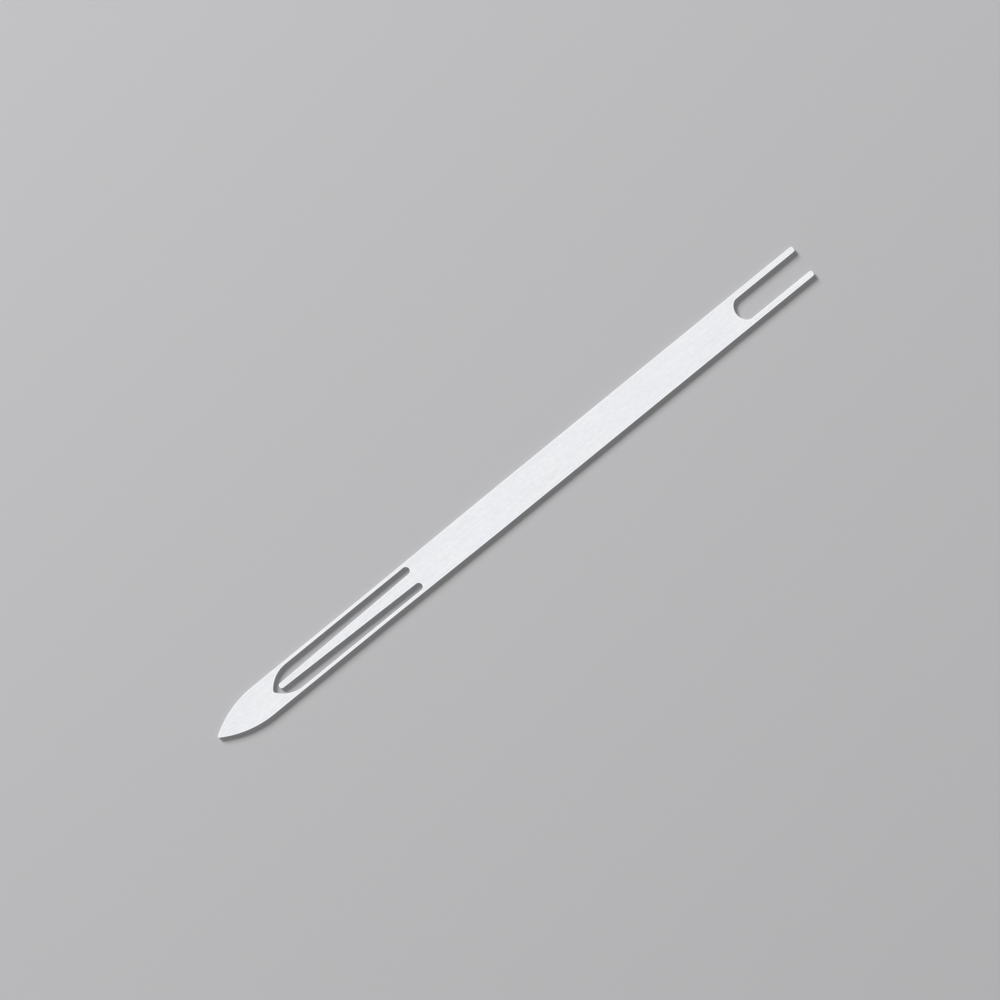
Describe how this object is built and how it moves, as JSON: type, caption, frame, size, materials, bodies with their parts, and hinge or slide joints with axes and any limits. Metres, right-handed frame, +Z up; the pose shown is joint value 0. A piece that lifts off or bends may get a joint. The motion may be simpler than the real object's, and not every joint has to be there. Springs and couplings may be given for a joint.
{
  "type": "netting needle",
  "caption": "Flat steel netting needle with a pointed nose, a long eye with a springy tongue that the twine loops over, a plain body and a forked heel.",
  "frame": {"origin": "middle of the underside, halfway along the needle, which lies flat", "axes": "+X from the point to the forked heel, +Y across the needle, +Z up through the sheet"},
  "size_m": [0.2, 0.0098, 0.001],
  "materials": {
    "steel": "bright stainless steel with a fine brushed grain along its length and tumbled edges"
  },
  "bodies": {
    "needle": {"needle_body": "steel"},
    "tongue": {"tongue": "steel"}
  },
  "joints": [
    {"name": "tongue_flex", "type": "hinge", "parent": "needle", "child": "tongue", "pos_m": [-0.0396, 0, 0.0005], "axis": [0, 1, 0], "range_deg": [-5, 5], "stiffness_Nm_per_rad": 2.2}
  ]
}
